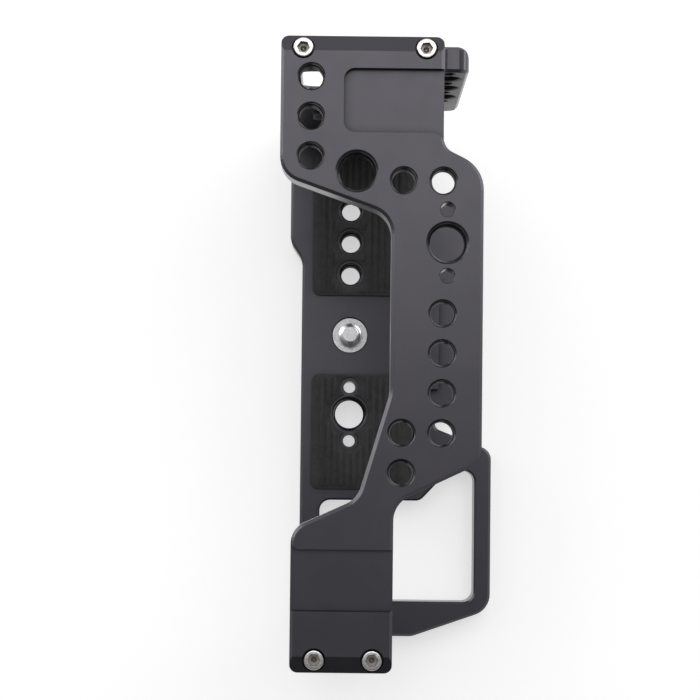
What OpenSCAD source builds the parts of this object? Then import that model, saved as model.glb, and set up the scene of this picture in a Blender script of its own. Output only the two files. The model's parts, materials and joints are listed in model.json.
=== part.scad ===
// Camera cage: four aluminium plates that screw together round a camera body.
// +Z is up, -Y is the lens side, +X is the camera's left-hand side.
// The origin is under the middle of the cage, on the plane that it stands on.
// Outlines are first written from the lens axis, and placed() moves them to the origin.

/* [Overall size] */
// Lens axis to the outer face of the left side
left_x = 60.4; // [58:0.1:66]
// Lens axis to the outer face of the right side
right_x = 83.7; // [80:0.1:90]
// Height of the whole cage
cage_h = 114; // [106:0.5:124]
// Thickness of the top plate
top_t = 8; // [7:0.5:10]
// Thickness of the bottom plate
bottom_t = 9; // [9:0.5:11]
// Thickness of each side plate
side_t = 6; // [5.5:0.1:6.5]

/* [Top plate outline] */
// Rear edge of the left block, behind the middle of the arm
left_rear_y = 14.9; // [13:0.1:18]
// Front edge of the left block, before the middle of the arm
left_front_y = 22.1; // [19:0.1:24]
// Front edge of the bridge, before the middle of the arm
front_y = 31.2; // [29:0.1:33]
// Rear edge of the bridge, before the middle of the arm
bridge_y = 10.5; // [9:0.1:11]
// Width of the arm to the right side
arm_w = 23; // [21:0.1:26]
// Length of the left block along its rear edge
left_block_w = 32; // [30:0.1:33]
// Run of the slope from the left block to the bridge
left_slope_run = 9; // [8:0.1:12]
// Left corner of the front nose, from the lens axis
nose_left_x = 30.4; // [29:0.1:31]
// Run of the slope from the front nose to the left block
nose_slope_run = 4.5; // [3.5:0.1:6]
// Bend in the rear edge of the bridge, from the lens axis
bend_x = 20.8; // [18:0.1:22]
// Foot of the rear slope to the arm, from the lens axis
ramp_x = 44.6; // [44:0.1:46]
// Foot of the rear slope to the arm, before the middle of the arm
ramp_y = 3.4; // [3:0.1:5]
// Shoulder where the rear slope meets the arm, from the lens axis
shoulder_x = 51.4; // [51:0.1:54]
// Right corner of the front nose, from the lens axis
nose_right_x = 36.2; // [36:0.1:38]
// Foot of the front slope on the arm, from the lens axis
armpit_x = 45.6; // [44:0.1:48]
// Rounding of the large outline corners
corner_r = 6; // [4:0.5:7]
// Rounding of the front nose's left corner
nose_r = 8; // [6:0.5:9]
// Rounding of the notch beside the front nose
notch_r = 3.5; // [2:0.5:5]
// Rounding of the outer end corners
end_r = 1.8; // [1.5:0.1:2]

/* [Top plate details] */
// Chamfer round both faces of every plate
chamfer = 0.7; // [0.4:0.1:1]
// Width of the bevel across each end
bevel_w = 3.8; // [2.5:0.1:4.5]
// Depth of the bevel across each end
bevel_h = 2.2; // [1:0.1:2.5]
// Depth of the lightening pocket underneath
relief_h = 2; // [1:0.1:2.5]
// Rim left round the lightening pocket
relief_rim = 2.4; // [2:0.1:4]
// Length of the bare pocket on the left block, along X
pocket_l = 14.6; // [12:0.1:16]
// Distance of the bare pocket from the left end
pocket_in = 7.7; // [7:0.1:8.5]
// Rear wall of the bare pocket, behind the middle of the arm
pocket_y = 0.6; // [0:0.1:1.5]
// Depth of the bare pocket
pocket_h = 1.5; // [1:0.1:2]
// Corner rounding of the bare pocket
pocket_r = 2.5; // [1.5:0.1:3]
// Distance from the right end to the far wall of the step in the arm
step_in = 13.8; // [12:0.1:15]
// Length of the step in the arm
step_l = 13.9; // [12:0.1:16]
// Depth of the step in the arm
step_h = 0.8; // [0.4:0.1:1.2]

/* [Threaded holes] */
// Wall radius of the quarter inch holes
quarter_r = 2.95; // [2.6:0.05:3.1]
// Wall radius of the three eighths holes
three_eighths_r = 4.45; // [4:0.05:4.7]
// Lead-in chamfer of the quarter inch holes
lead_in = 0.3; // [0.2:0.05:0.4]
// Lead-in chamfer of the three eighths holes
main_lead_in = 0.45; // [0.3:0.05:0.5]
// Spacing of the threaded holes
hole_pitch = 9; // [8.8:0.1:9.2]
// Radius of the locating pin holes beside a three eighths hole
pin_hole_r = 1.65; // [1.5:0.05:1.75]
// Distance of the locating pin holes from the three eighths hole
pin_hole_d = 7.5; // [7.3:0.1:7.8]

/* [Screws and dowels] */
// Radius of the joint screws
screw_r = 1.5; // [1.2:0.1:1.6]
// Radius of their heads
screw_head_r = 2.25; // [2.1:0.05:2.5]
// Height of their heads
screw_head_h = 3; // [2.5:0.1:3.2]
// Length of the threads of the top joint screws
top_screw_l = 8; // [7:0.5:9]
// Length of the threads of the bottom joint screws
bottom_screw_l = 12; // [10:0.5:14]
// Width across flats of their hexagon sockets
screw_hex_w = 2.6; // [2:0.1:2.8]
// Radius of the dowel pins
dowel_r = 1.25; // [1:0.05:1.5]
// Length of the dowel pins
dowel_l = 6; // [4:0.5:8]
// Radial play of screws and dowels in their holes
play = 0.05; // [0.03:0.01:0.1]

/* [Side plates] */
// How far the front wing of the left plate reaches before the left block
wing_reach = 6.4; // [6:0.1:9]
// Height of the front wing
wing_h = 48; // [44:0.5:56]
// Drop from the top of the cage to the front wing
wing_drop = 11.5; // [10:0.5:14]
// Spacing of the holes in the front wing
wing_pitch = 10.6; // [10:0.1:11.5]
// Radius of the small threaded holes in the front wing
wing_small_r = 1.4; // [1:0.05:1.5]
// Height of the port window in the left plate
port_h = 45; // [38:0.5:46]
// Width of the strap slots
strap_slot_w = 4.5; // [3.5:0.1:6]
// Length of the strap slots
strap_slot_l = 14; // [10:0.5:15]

/* [Bottom plate] */
// Front edge of the rim round the battery door, before the middle of the arm
rim_y = 41.7; // [40:0.1:44]
// Width of that rim
rim_w = 4.6; // [4:0.1:6]
// Front edge of the tongue under the lens, before the middle of the arm
tongue_y = 35; // [33:0.1:36]
// Front edge of the bottom plate beside the tongue
bottom_front_y = 22.1; // [21:0.1:23]

/* [Camera screw] */
// Camera screw's place before the middle of the arm
camera_screw_y = 2; // [0:0.1:4]
// Radius of its thread
camera_screw_r = 3.1; // [3:0.05:3.15]
// Length of its thread above the camera's seat
camera_screw_grip = 5; // [4:0.1:6]
// Radius of its head
camera_head_r = 7; // [6.5:0.1:7.5]
// Height of its head
camera_head_h = 2.4; // [2:0.1:2.6]
// How far it lifts
camera_screw_lift = 1.5; // [1:0.1:1.6]
// Radius of the wire of its folding ring
ring_wire_r = 0.65; // [0.5:0.05:0.7]
// Radius of the bow of its folding ring
ring_bow_r = 4.95; // [4.8:0.05:5.2]

/* [Pads and lip] */
// Thickness of the rubber pads under the camera
pad_t = 0.8; // [0.5:0.1:1.2]
// Thickness of the rubber pads at the sides and top
inner_pad_t = 1; // [0.5:0.1:1.5]
// Length of the locating lip
lip_l = 30; // [26:0.5:36]
// Height of the locating lip above the plate
lip_h = 3.5; // [3:0.1:5]
// Thickness of the locating lip
lip_t = 4.5; // [4.4:0.1:6]

/* [Hidden] */

$fn = 64;
plate_color = "#4a494d";
steel_color = "#c8c6c2";
rubber_color = "#1c1c1d";

// One overrun serves every cut
cut = 0.5;
// Segments of each rounded outline corner, and its least radius
corner_steps = 8;
least_r = 0.2;

// The middle of the cage, from the lens axis
mid_x = (left_x - right_x) / 2;
mid_y = (left_rear_y - rim_y) / 2;
top_z = cage_h - top_t;
web_z = top_z + relief_h;
arm_y = arm_w / 2;
left_in_x = left_x - side_t;
right_in_x = right_x - side_t;
left_mid_y = (left_rear_y - left_front_y) / 2;
left_block_x = left_x - left_block_w;
step_x = right_x - step_in;
wing_y = left_front_y + wing_reach;
wing_top = cage_h - wing_drop;
seat_z = bottom_t + pad_t;

// The outline of the top plate, counter-clockwise from above: x, y and rounding
bend_r = 10;
shoulder_r = 5;
top_outline = [
    [left_x, left_rear_y, end_r],
    [left_block_x, left_rear_y, corner_r],
    [left_block_x - left_slope_run, -bridge_y, corner_r],
    [-bend_x, -bridge_y, bend_r],
    [-ramp_x, -ramp_y, corner_r],
    [-shoulder_x, arm_y, shoulder_r],
    [-right_x, arm_y, end_r],
    [-right_x, -arm_y, end_r],
    [-armpit_x, -arm_y, corner_r],
    [-nose_right_x, -front_y, corner_r],
    [nose_left_x, -front_y, nose_r],
    [nose_left_x + nose_slope_run, -left_front_y, notch_r],
    [left_x, -left_front_y, end_r]
];
relief_gap = 0.8;
window_edge = 0.5;
relief_end = side_t + relief_gap;

// The bare pocket widens where it leaves through the front edge
pocket_far_x = left_x - pocket_in;
pocket_near_x = pocket_far_x - pocket_l;
flare_in = 1.3;
flare_w = 2.4;
flare_r = 3;
pocket_outline = [
    [pocket_far_x, -left_front_y - cut, 0],
    [pocket_far_x, pocket_y, pocket_r],
    [pocket_near_x, pocket_y, pocket_r],
    [pocket_near_x, -left_front_y + flare_in, flare_r],
    [pocket_near_x - flare_w, -left_front_y - cut, 0]
];
// The step in the arm ends in a steep slope, and its sharp wall is rounded at the rear
step_slope = 0.4;
step_r = 2;

// Places of the threaded holes in the top plate
left_col_in = 9.7;
left_col_rear_in = 6.9;
front_row_in = 9.1;
front_row_x = 2.7;
front_col_in = 3.1;
main_in = 8.1;
main_x = 13.3;
second_in = 1.1;
second_y = 2.5;
front_row_y = front_y - front_row_in;
front_col_x = nose_left_x - front_col_in;
left_col_spots = [for (i = [0 : 2]) [left_x - left_col_in - i * hole_pitch, left_rear_y - left_col_rear_in]];
front_col_spots = [for (i = [0, 1]) [front_col_x, i * hole_pitch - front_row_y]];
front_row_spots = [for (i = [0 : 3]) [-front_row_x - i * hole_pitch, -front_row_y]];
arm_spots = [for (i = [3, 4]) [-front_row_x - i * hole_pitch, hole_pitch - front_row_y]];
main_spot = [main_x, main_in - front_y];
second_spot = [nose_left_x - second_in, -second_y];

// Joint screws and dowels stand in the middle of the side plates
screw_sink = 0.35;
head_gap = 0.4;
socket_h = 1.7;
head_chamfer = 0.25;
counterbore_h = screw_head_h + screw_sink;
thread_spare = 0.5;
top_hole_h = top_screw_l + counterbore_h + thread_spare - top_t;
bottom_hole_h = bottom_screw_l + counterbore_h + thread_spare - bottom_t;
left_screw_x = left_x - side_t / 2;
right_screw_x = side_t / 2 - right_x;
left_rear_in = 5;
left_front_in = 4.1;
right_rear_in = 5.5;
right_front_in = 4.5;
dowel_gap = 6;
right_dowel_gap = 4;
left_screw_ys = [left_rear_y - left_rear_in, left_front_in - left_front_y];
right_screw_ys = [arm_y - right_rear_in, right_front_in - arm_y];
left_dowel_ys = [left_screw_ys[0] - dowel_gap, left_screw_ys[1] + dowel_gap];
right_dowel_ys = [right_screw_ys[0] - right_dowel_gap, right_screw_ys[1] + right_dowel_gap];
left_screw_spots = [for (y = left_screw_ys) [left_screw_x, y]];
right_screw_spots = [for (y = right_screw_ys) [right_screw_x, y]];
left_dowel_spots = [for (y = left_dowel_ys) [left_screw_x, y]];
right_dowel_spots = [for (y = right_dowel_ys) [right_screw_x, y]];

// The left plate, counter-clockwise as seen from outside: y, z and rounding
wing_corner_r = 3;
wing_neck_r = 1.5;
wing_edge_r = 2.8;
left_outline = [
    [left_rear_y, top_z, end_r],
    [-left_front_y, top_z, end_r],
    [-left_front_y, wing_top, wing_neck_r],
    [-wing_y, wing_top, wing_corner_r],
    [-wing_y, wing_top - wing_h, wing_corner_r],
    [-left_front_y, wing_top - wing_h, wing_neck_r],
    [-left_front_y, bottom_t, end_r],
    [left_rear_y, bottom_t, end_r]
];
wing_row_out = 1.8;
wing_row_drop = 7.8;
wing_row_y = -left_front_y - wing_row_out;
wing_spots = [for (i = [0 : 2]) [wing_row_y, wing_top - wing_row_drop - i * wing_pitch]];
wing_small_spots = [for (i = [0 : 3]) [wing_row_y, wing_top - wing_row_drop - (i - 1 / 2) * wing_pitch]];
// The port window stays clear of the joint screws above it
port_rim_rear = 4.1;
port_rim_front = 9.1;
port_wall = 1.15;
port_r = 3;
port_top = top_z - top_hole_h - port_wall;
port_outline = [
    [left_rear_y - port_rim_rear, port_top, port_r],
    [port_rim_front - left_front_y, port_top, port_r],
    [port_rim_front - left_front_y, port_top - port_h, port_r],
    [left_rear_y - port_rim_rear, port_top - port_h, port_r]
];
left_row_z = 22;
left_main_z = 36.5;
left_row_spots = [for (i = [-1 : 1]) [left_mid_y + i * hole_pitch, left_row_z]];
left_main_spot = [left_mid_y, left_main_z];

// The right plate, counter-clockwise as seen from the left
right_outline = [
    [arm_y, top_z, end_r],
    [-arm_y, top_z, end_r],
    [-arm_y, bottom_t, end_r],
    [arm_y, bottom_t, end_r]
];
right_row_z = 24;
right_main_z = 60;
strap_slot_drop = 14;
strap_slot_z = top_z - strap_slot_drop;
right_row_spots = [for (i = [0 : 2]) [0, right_row_z + i * hole_pitch]];
right_main_spot = [0, right_main_z];

// The outline of the bottom plate, counter-clockwise from above
bottom_step_x = 26;
bottom_step_run = 5;
rim_side_y = 20;
rim_side_in = 7.6;
rim_x = 31.9;
rim_r = 3.5;
gap_x = 24;
gap_y = 21.5;
gap_r = 2;
tongue_right_x = 20.5;
tongue_left_x = 36.5;
tongue_run = 4;
bottom_outline = [
    [left_x, left_rear_y, end_r],
    [bottom_step_x, left_rear_y, corner_r],
    [bottom_step_x - bottom_step_run, arm_y, corner_r],
    [-right_x, arm_y, end_r],
    [-right_x, -rim_side_y, corner_r],
    [rim_side_in - right_x, -rim_y, corner_r],
    [-rim_x, -rim_y, rim_r],
    [-gap_x, -gap_y, gap_r],
    [-tongue_right_x, -tongue_y, corner_r],
    [tongue_left_x, -tongue_y, corner_r],
    [tongue_left_x + tongue_run, -bottom_front_y, notch_r],
    [left_x, -bottom_front_y, end_r]
];
// The opening for the battery door
door_side = 9.7;
door_rear_y = 6;
door_x = 46;
door_front_x = 37.5;
door_bend_y = 30;
door_low_y = 22;
door_r = 3;
door_outline = [
    [door_side - right_x, rim_w - rim_y, door_r],
    [-door_front_x, rim_w - rim_y, door_r],
    [-door_front_x, -door_bend_y, door_r],
    [-door_x, -door_low_y, door_r],
    [-door_x, door_rear_y, door_r],
    [door_side - right_x, door_rear_y, door_r]
];
base_row_x = 17;
base_main_x = 22;
base_row_spots = [for (i = [0 : 2]) [base_row_x + i * hole_pitch, -camera_screw_y]];
base_main_spot = [-base_main_x, -camera_screw_y];

// The camera screw rests low, on its clip, and its ring lies folded under the head.
// Its recess leaves room for a fingertip round the head.
ring_floor = 0.8;
ring_gap = 0.15;
ring_z = ring_floor + ring_wire_r;
head_z = ring_floor + 2 * ring_wire_r + ring_gap;
head_top = head_z + camera_head_h;
head_room = 2;
clip_t = 0.7;
clip_r = 4.8;
clip_room = 0.3;
clip_seat_z = bottom_t - camera_screw_lift;
groove_depth = 0.7;
groove_r = camera_screw_r - groove_depth;
tip_chamfer = 0.6;
camera_tip_z = seat_z + camera_screw_grip - camera_screw_lift;
lug_w = 8;
lug_d = 2.6;
lug_drop = 1.05;
pivot_in = 2;
pivot_pin_l = 2.95;
pivot_play = 0.07;
bow_y = 0.3;

// The locating lip stands on the tongue
lip_y = bottom_front_y;
lip_screw_gap = 10;
lip_screw_l = 8;
lip_screw_y = -lip_y - lip_t / 2;
lip_spots = [for (i = [-1, 1]) [i * lip_screw_gap, lip_screw_y]];

// Rubber pads
pad_r = 2;
pad_hole_gap = 1;
base_pad_rear_y = 8.5;
base_pad_front_y = 19;
base_pad_near = 11;
base_pad_left_x = 51;
base_pad_right_x = 43;
side_pad_h = 9;
left_pad_w = 24;
left_pad_z = 49;
right_pad_w = 17;
right_pad_z = 80;
top_pad_t = relief_h + inner_pad_t;
top_pad_w = 9;
top_pad_l = 12;
top_pad_left_x = 46;
top_pad_left_y = 8;
top_pad_right_x = 63;

// Points of a rounded outline, drawn in by inset
function direction(a, b) = [b[0] - a[0], b[1] - a[1]] / norm([b[0] - a[0], b[1] - a[1]]);
function turned(p, angle) = [
    p[0] * cos(angle) - p[1] * sin(angle),
    p[0] * sin(angle) + p[1] * cos(angle)
];
function rounded(corners, inset = 0) = [
    for (i = [0 : len(corners) - 1])
        let (
            corner = corners[i],
            before = direction(corners[(i + len(corners) - 1) % len(corners)], corner),
            after = direction(corner, corners[(i + 1) % len(corners)]),
            side = sign(before[0] * after[1] - before[1] * after[0]),
            angle = side * acos(before * after),
            normal = [-before[1], before[0]],
            miter = (normal + [-after[1], after[0]]) / (1 + before * after),
            r = corner[2] == 0 ? 0 : max(corner[2] - side * inset, least_r),
            middle = [corner[0], corner[1]] + (inset + side * r) * miter
        )
        for (k = [0 : r == 0 ? 0 : corner_steps])
            middle - side * r * turned(normal, angle * k / corner_steps)
];

// The chamfer round an edge of a plate, as a cutter: up is 1 for a roof and -1 for a floor,
// and side is 1 for the plate's own outline and -1 for the outline of a window in it
module edge_cut(corners, face_z, edge, up, side = 1) {
    levels = [
        [side * (edge + cut), face_z + up * cut],
        [-side * cut, face_z - up * (edge + cut)],
        [-side * cut, face_z + up * cut]
    ];
    rings = [for (level = levels) [for (p = rounded(corners, level[0])) [p[0], p[1], level[1]]]];
    count = len(rings[0]);
    walls = [
        for (j = [0 : 2])
            for (i = [0 : count - 1])
                let (
                    k = (j + 1) % 3,
                    n = (i + 1) % count,
                    wall = [j * count + i, k * count + i, k * count + n, j * count + n]
                )
                up * side > 0 ? wall : [wall[3], wall[2], wall[1], wall[0]]
    ];
    polyhedron(points = [for (ring = rings) for (p = ring) p], faces = walls, convexity = 6);
}

// A window through a plate from low to high, with both edges chamfered, as a cutter
module window(corners, low, high) {
    translate([0, 0, low - cut])
        linear_extrude(height = high - low + 2 * cut) polygon(rounded(corners));
    edge_cut(corners, low, window_edge, -1, -1);
    edge_cut(corners, high, window_edge, 1, -1);
}

// A plate from low to high, with both faces chamfered
module plate(corners, low, high, edge = chamfer) {
    difference() {
        translate([0, 0, low]) linear_extrude(height = high - low) polygon(rounded(corners));
        edge_cut(corners, low, edge, -1);
        edge_cut(corners, high, edge, 1);
    }
}

// Moves what is drawn from the lens axis to the origin
module placed() {
    translate([-mid_x, -mid_y, 0]) children();
}

// Turns a drawing in y and z, with its height along x, into place
module upright() {
    rotate([90, 0, 90]) children();
}

// A hole from low to high with a lead-in at both ends
module hole(spot, r, low, high, lead = lead_in) {
    translate([spot[0], spot[1], low - cut]) cylinder(r = r, h = high - low + 2 * cut);
    if (lead > 0) {
        translate([spot[0], spot[1], low - cut])
            cylinder(r1 = r + lead + cut, r2 = r, h = lead + cut);
        translate([spot[0], spot[1], high - lead])
            cylinder(r1 = r, r2 = r + lead + cut, h = lead + cut);
    }
}

// A blind hole upward from a face below, or downward from a face above
module blind(spot, r, face_z, depth, down = false) {
    translate([spot[0], spot[1], down ? face_z - depth : face_z - cut])
        cylinder(r = r, h = depth + cut);
}

// A three eighths hole with a locating pin hole on both sides
module locating_hole(spot, low, high, along = [1, 0]) {
    hole(spot, three_eighths_r, low, high, main_lead_in);
    for (side = [-1, 1])
        hole(spot + side * pin_hole_d * along, pin_hole_r, low, high, lead_in / 2);
}

// A socket head screw with the underside of its head at the origin
module socket_screw(length) {
    difference() {
        union() {
            cylinder(r = screw_head_r, h = screw_head_h - head_chamfer);
            translate([0, 0, screw_head_h - head_chamfer])
                cylinder(r1 = screw_head_r, r2 = screw_head_r - head_chamfer, h = head_chamfer);
            translate([0, 0, -length]) cylinder(r = screw_r, h = length);
        }
        translate([0, 0, screw_head_h - socket_h])
            cylinder(r = screw_hex_w / 2 / cos(30), h = socket_h + cut, $fn = 6);
    }
}

module top_screws(spots) {
    color(steel_color) placed()
        for (spot = spots)
            translate([spot[0], spot[1], cage_h - counterbore_h]) socket_screw(top_screw_l);
}

module bottom_screws(spots, length = bottom_screw_l) {
    color(steel_color) placed()
        for (spot = spots)
            translate([spot[0], spot[1], counterbore_h]) rotate([180, 0, 0]) socket_screw(length);
}

module dowels(spots, joint_z) {
    color(steel_color) placed()
        for (spot = spots)
            translate([spot[0], spot[1], joint_z - dowel_l / 2])
                cylinder(r = dowel_r, h = dowel_l);
}

// Screw and dowel holes of one end of the top plate
module top_joint_holes(screws, pins) {
    for (spot = screws) {
        hole(spot, screw_r + play, top_z, cage_h, 0);
        blind(spot, screw_head_r + head_gap, cage_h, counterbore_h, true);
    }
    for (spot = pins) blind(spot, dowel_r + play, top_z, dowel_l / 2 + play);
}

// Screw and dowel holes of one end of the bottom plate
module bottom_joint_holes(screws, pins) {
    for (spot = screws) {
        hole(spot, screw_r + play, 0, bottom_t, 0);
        blind(spot, screw_head_r + head_gap, 0, counterbore_h);
    }
    for (spot = pins) blind(spot, dowel_r + play, bottom_t, dowel_l / 2 + play, true);
}

// Screw and dowel holes in the ends of a side plate
module side_joint_holes(screws, pins) {
    for (spot = screws) {
        blind(spot, screw_r + play, top_z, top_hole_h, true);
        blind(spot, screw_r + play, bottom_t, bottom_hole_h);
    }
    for (spot = pins) {
        blind(spot, dowel_r + play, top_z, dowel_l / 2 + play, true);
        blind(spot, dowel_r + play, bottom_t, dowel_l / 2 + play);
    }
}

// The bevel across the left end, as a cutter
module end_bevel(end_x) {
    run_share = cut / bevel_w;
    rise = bevel_h * run_share;
    translate([0, left_rear_y + cut, 0]) rotate([90, 0, 0])
        linear_extrude(height = left_rear_y + left_front_y + 2 * cut)
            polygon([
                [end_x - bevel_w - cut, cage_h + rise],
                [end_x + cut, cage_h - bevel_h - rise],
                [end_x + cut, cage_h + rise]
            ]);
}

module lightening_pocket() {
    intersection() {
        translate([0, 0, top_z - cut])
            linear_extrude(height = relief_h + cut) polygon(rounded(top_outline, relief_rim));
        translate([relief_end - right_x, -front_y, top_z - cut])
            cube([left_x + right_x - 2 * relief_end, front_y + left_rear_y, relief_h + cut]);
    }
}

// The shallow step across the arm, as a cutter
module arm_step() {
    translate([0, arm_y + cut, 0]) rotate([90, 0, 0])
        linear_extrude(height = arm_w + 2 * cut)
            polygon([
                [step_l - step_x, cage_h + cut],
                [-step_x - step_slope * cut / step_h, cage_h + cut],
                [step_slope - step_x, cage_h - step_h],
                [step_l - step_x, cage_h - step_h]
            ]);
    difference() {
        translate([step_l - step_x - cut, arm_y - step_r, cage_h - step_h])
            cube([step_r + cut, step_r + cut, step_h + cut]);
        translate([step_l - step_x + step_r, arm_y - step_r, cage_h - step_h - cut])
            cylinder(r = step_r, h = step_h + 3 * cut);
    }
}

module top_plate() {
    color(plate_color) placed() difference() {
        plate(top_outline, top_z, cage_h);
        lightening_pocket();
        end_bevel(left_x);
        mirror([1, 0, 0]) end_bevel(right_x);
        translate([0, 0, cage_h - pocket_h])
            linear_extrude(height = pocket_h + cut) polygon(rounded(pocket_outline));
        arm_step();
        for (spot = concat(left_col_spots, front_col_spots, front_row_spots, arm_spots))
            hole(spot, quarter_r, web_z, cage_h);
        locating_hole(main_spot, web_z, cage_h);
        hole(second_spot, three_eighths_r, web_z, cage_h, main_lead_in);
        top_joint_holes(left_screw_spots, left_dowel_spots);
        top_joint_holes(right_screw_spots, right_dowel_spots);
    }
}

module left_side_plate() {
    color(plate_color) placed() difference() {
        upright() plate(left_outline, left_in_x, left_x);
        upright() {
            window(port_outline, left_in_x, left_x);
            for (spot = concat(wing_spots, left_row_spots))
                hole(spot, quarter_r, left_in_x, left_x);
            for (spot = wing_small_spots)
                hole(spot, wing_small_r, left_in_x, left_x, lead_in / 2);
            locating_hole(left_main_spot, left_in_x, left_x);
        }
        side_joint_holes(left_screw_spots, left_dowel_spots);
        wing_edge();
    }
}

// Rounds the outer front edge of the wing, as a cutter
module wing_edge() {
    low = wing_top - wing_h - cut;
    high = wing_top + cut;
    difference() {
        translate([left_x - wing_edge_r, -wing_y - cut, low])
            cube([wing_edge_r + cut, wing_edge_r + cut, high - low]);
        translate([left_x - wing_edge_r, wing_edge_r - wing_y, low - cut])
            cylinder(r = wing_edge_r, h = high - low + 2 * cut);
    }
}

module right_side_plate() {
    color(plate_color) placed() difference() {
        upright() plate(right_outline, -right_x, -right_in_x);
        upright() {
            for (spot = right_row_spots) hole(spot, quarter_r, -right_x, -right_in_x);
            locating_hole(right_main_spot, -right_x, -right_in_x, [0, 1]);
            strap_slot();
        }
        side_joint_holes(right_screw_spots, right_dowel_spots);
    }
}

module strap_slot() {
    run = strap_slot_l - strap_slot_w;
    translate([-run / 2, strap_slot_z - strap_slot_w / 2, -right_x - cut])
        cube([run, strap_slot_w, side_t + 2 * cut]);
    for (side = [-1, 1])
        translate([side * run / 2, strap_slot_z, -right_x - cut])
            cylinder(r = strap_slot_w / 2, h = side_t + 2 * cut);
}

module bottom_plate() {
    color(plate_color) placed() difference() {
        plate(bottom_outline, 0, bottom_t);
        window(door_outline, 0, bottom_t);
        for (spot = base_row_spots) hole(spot, quarter_r, 0, bottom_t);
        locating_hole(base_main_spot, 0, bottom_t);
        camera_screw_hole();
        bottom_joint_holes(left_screw_spots, left_dowel_spots);
        bottom_joint_holes(right_screw_spots, right_dowel_spots);
        for (spot = lip_spots) {
            hole(spot, screw_r + play, 0, bottom_t, 0);
            blind(spot, screw_head_r + head_gap, 0, counterbore_h);
        }
    }
}

module camera_screw_hole() {
    spot = [0, -camera_screw_y];
    hole(spot, camera_screw_r + play, 0, bottom_t, 0);
    blind(spot, camera_head_r + head_room, 0, head_top + camera_screw_lift);
    blind(spot, clip_r + clip_room, bottom_t, bottom_t - clip_seat_z, true);
}

module camera_screw() {
    color(steel_color) placed() translate([0, -camera_screw_y, 0]) difference() {
        union() {
            translate([0, 0, head_z]) cylinder(r = camera_head_r, h = camera_head_h);
            translate([0, 0, head_z]) cylinder(r = camera_screw_r, h = camera_tip_z - tip_chamfer - head_z);
            translate([0, 0, camera_tip_z - tip_chamfer])
                cylinder(r1 = camera_screw_r, r2 = camera_screw_r - tip_chamfer, h = tip_chamfer);
            translate([-lug_w / 2, -pivot_in - lug_d / 2, head_z - lug_drop - ring_wire_r])
                cube([lug_w, lug_d, lug_drop + ring_wire_r + camera_head_h / 2]);
        }
        translate([0, 0, clip_seat_z - play]) difference() {
            cylinder(r = camera_screw_r + cut, h = clip_t + 2 * play);
            translate([0, 0, -cut]) cylinder(r = groove_r, h = clip_t + 2 * play + 2 * cut);
        }
        for (side = [-1, 1])
            translate([side * lug_w / 2, -pivot_in, ring_z]) rotate([0, -90 * side, 0])
                translate([0, 0, -cut])
                    cylinder(r = ring_wire_r + pivot_play, h = pivot_pin_l + cut);
    }
}

module camera_screw_clip() {
    color(steel_color) placed() translate([0, -camera_screw_y, clip_seat_z]) difference() {
        cylinder(r = clip_r, h = clip_t);
        translate([0, 0, -cut]) cylinder(r = groove_r + play, h = clip_t + 2 * cut);
    }
}

// The ring lies flat, and its turned-in ends are its pivot
module camera_screw_ring() {
    color(steel_color) placed() translate([0, -camera_screw_y, ring_z]) {
        translate([0, bow_y, 0]) rotate_extrude(angle = 180)
            translate([ring_bow_r, 0]) circle(r = ring_wire_r);
        for (side = [-1, 1]) {
            translate([side * ring_bow_r, bow_y, 0]) rotate([90, 0, 0])
                cylinder(r = ring_wire_r, h = bow_y + pivot_in);
            translate([side * ring_bow_r, -pivot_in, 0]) sphere(r = ring_wire_r);
            translate([side * ring_bow_r, -pivot_in, 0]) rotate([0, -90 * side, 0])
                cylinder(r = ring_wire_r, h = pivot_pin_l);
        }
    }
}

module locating_lip() {
    color(plate_color) placed() difference() {
        translate([-lip_l / 2, -lip_y - lip_t, bottom_t]) cube([lip_l, lip_t, lip_h]);
        for (spot = lip_spots)
            blind(spot, screw_r + play, bottom_t, lip_screw_l + counterbore_h - bottom_t + play);
    }
}

// A flat pad with rounded corners, from one corner to the other
module pad(low, high, t) {
    linear_extrude(height = t)
        polygon(rounded([
            [low[0], low[1], pad_r],
            [high[0], low[1], pad_r],
            [high[0], high[1], pad_r],
            [low[0], high[1], pad_r]
        ]));
}

module bottom_pad_left() {
    color(rubber_color) placed() difference() {
        translate([0, 0, bottom_t])
            pad([base_pad_near, -base_pad_front_y], [base_pad_left_x, base_pad_rear_y], pad_t);
        for (spot = base_row_spots)
            hole(spot, quarter_r + pad_hole_gap, bottom_t, seat_z, 0);
    }
}

module bottom_pad_right() {
    color(rubber_color) placed() difference() {
        translate([0, 0, bottom_t])
            pad([-base_pad_right_x, -base_pad_front_y], [-base_pad_near, base_pad_rear_y], pad_t);
        hole(base_main_spot, three_eighths_r + pad_hole_gap, bottom_t, seat_z, 0);
        for (side = [-1, 1])
            hole(base_main_spot + [side * pin_hole_d, 0], pin_hole_r + pad_hole_gap, bottom_t, seat_z, 0);
    }
}

module left_inner_pad() {
    color(rubber_color) placed() upright()
        translate([left_mid_y, left_pad_z, left_in_x - inner_pad_t])
            pad([-left_pad_w, -side_pad_h] / 2, [left_pad_w, side_pad_h] / 2, inner_pad_t);
}

module right_inner_pad() {
    color(rubber_color) placed() upright()
        translate([0, right_pad_z, -right_in_x])
            pad([-right_pad_w, -side_pad_h] / 2, [right_pad_w, side_pad_h] / 2, inner_pad_t);
}

module top_pad_left() {
    color(rubber_color) placed() translate([top_pad_left_x, -top_pad_left_y, web_z - top_pad_t])
        pad([-top_pad_l, -top_pad_w] / 2, [top_pad_l, top_pad_w] / 2, top_pad_t);
}

module top_pad_right() {
    color(rubber_color) placed() translate([-top_pad_right_x, 0, web_z - top_pad_t])
        pad([-top_pad_l, -top_pad_w] / 2, [top_pad_l, top_pad_w] / 2, top_pad_t);
}

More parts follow.
